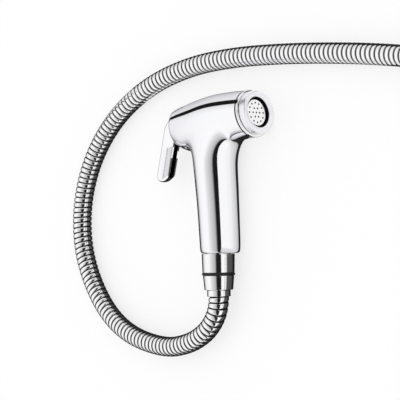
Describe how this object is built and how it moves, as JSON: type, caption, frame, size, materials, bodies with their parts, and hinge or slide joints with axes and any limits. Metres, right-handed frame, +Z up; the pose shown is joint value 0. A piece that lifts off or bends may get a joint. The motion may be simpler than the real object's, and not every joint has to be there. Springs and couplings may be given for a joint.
{
  "type": "handheld bidet shower",
  "caption": "Chromed hand spray with a side-lying pistol handle, rear thumb lever valve, perforated spray face and a ridged metal hose ending in union nuts.",
  "frame": {"origin": "on the surface it lies on, under the middle of the handset's box (hose and its nuts left out)", "axes": "+Z up from the surface; +Y up the handle from heel to barrel; +X towards the spray face"},
  "size_m": [0.4798, 0.2571, 0.0349],
  "materials": {
    "chrome_shell": "bright chrome plate on moulded ABS",
    "chrome_brass": "bright chrome plate on turned brass",
    "satin_ring": "satin chrome, fine turned",
    "spray_steel": "polished stainless sheet",
    "hose_steel": "polished interlocked stainless strip",
    "rubber": "black EPDM rubber",
    "acetal": "natural white acetal",
    "brass": "turned brass",
    "spring_steel": "stainless wire and pin"
  },
  "bodies": {
    "root": {"body_shell": "chrome_shell", "nozzle_flange": "chrome_shell", "face_ring": "satin_ring", "spray_plate": "spray_steel", "valve_body": "acetal", "stem_gland": "acetal", "spring_cap": "acetal", "supply_tube": "acetal", "plate_gasket": "rubber", "stem_o_ring": "rubber", "gland_o_ring": "rubber", "tube_o_ring": "rubber", "valve_spring": "spring_steel", "lever_pin": "spring_steel", "inlet_connector": "chrome_brass", "collar_band": "rubber", "hose_nut": "chrome_brass", "inlet_washer": "rubber", "hose_tail": "brass", "hose_ferrule": "chrome_brass", "hose": "hose_steel", "wall_washer": "rubber", "wall_tail": "brass", "wall_ferrule": "chrome_brass"},
    "lever": {"lever": "chrome_shell"},
    "stem": {"valve_stem": "brass", "poppet_seal": "rubber"},
    "wall_nut": {"wall_nut": "chrome_brass"}
  },
  "joints": [
    {"name": "lever_press", "type": "hinge", "parent": "root", "child": "lever", "pos_m": [-0.03029, 0.04918, 0.01741], "axis": [0, -0.027, 0.9996], "range_deg": [0, 12], "stiffness_Nm_per_rad": 0.33, "springref_deg": -13.75},
    {"name": "stem_push", "type": "slide", "parent": "root", "child": "stem", "axis": [0.9907, 0.136, 0.004], "range_m": [0, 0.00157], "deforming": ["valve_spring"]},
    {"name": "wall_nut_spin", "type": "hinge", "parent": "root", "child": "wall_nut", "pos_m": [0.19636, -0.14405, 0.01145], "axis": [-0.8741, -0.484, 0.041], "continuous": true}
  ],
  "couplings": [
    {"joint": "stem_push", "follows": "lever_press", "m_per_rad": 0.007261}
  ]
}
